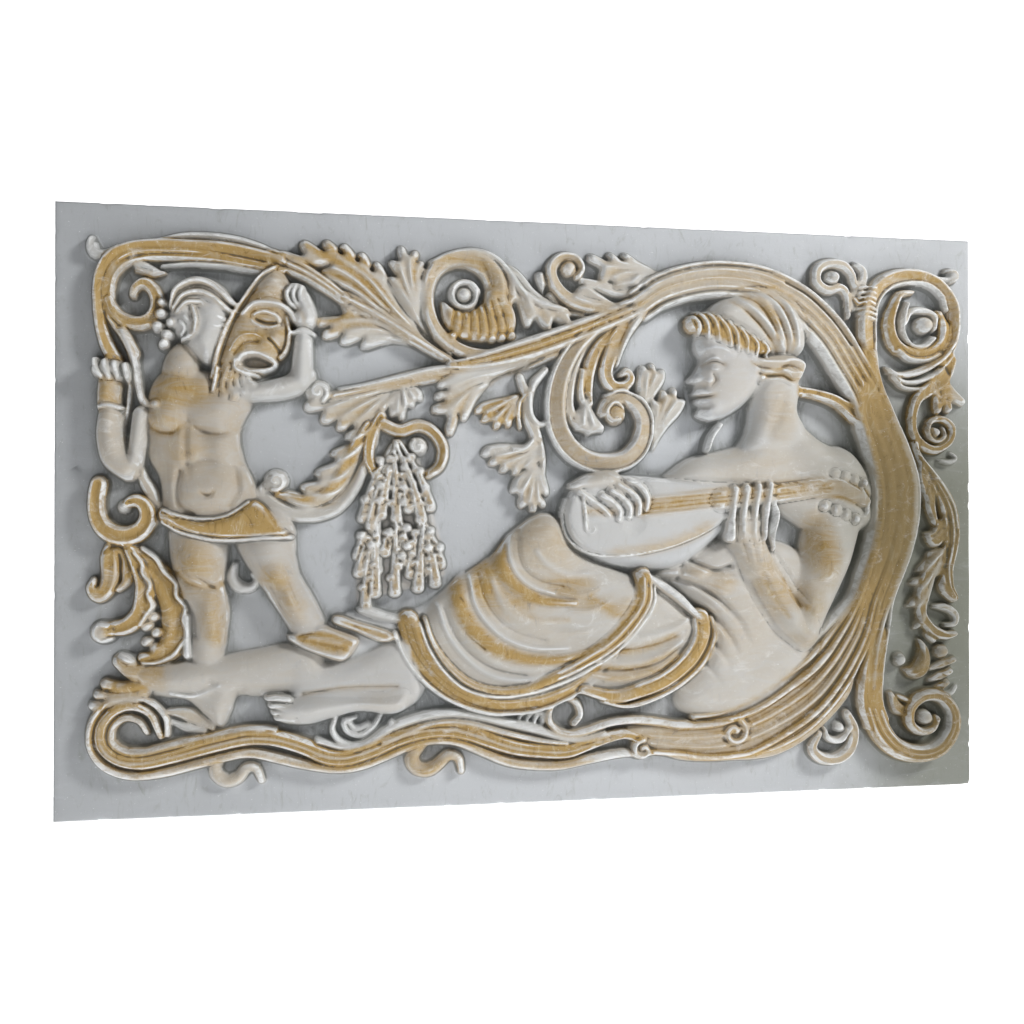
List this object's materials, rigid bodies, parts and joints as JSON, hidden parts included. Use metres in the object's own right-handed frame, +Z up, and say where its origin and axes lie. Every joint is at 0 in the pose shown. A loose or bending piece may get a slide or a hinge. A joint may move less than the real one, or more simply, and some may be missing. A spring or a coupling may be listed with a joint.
{
  "type": "plaster wall relief panel",
  "caption": "Rectangular cast plaster wall panel with a high relief of a lute player, a child and a mask among scrolling vines and roots.",
  "frame": {"origin": "centre of the flat back face, where the panel meets the wall", "axes": "+X along the panel's length to the viewer's right, +Y into the wall, +Z up; the carving faces -Y"},
  "size_m": [1.219, 0.0759, 0.762],
  "materials": {
    "plaster": "matte painted plaster, grey with ochre and chalk white dry brushing"
  },
  "bodies": {
    "root": {"relief_panel": "plaster"}
  },
  "joints": []
}
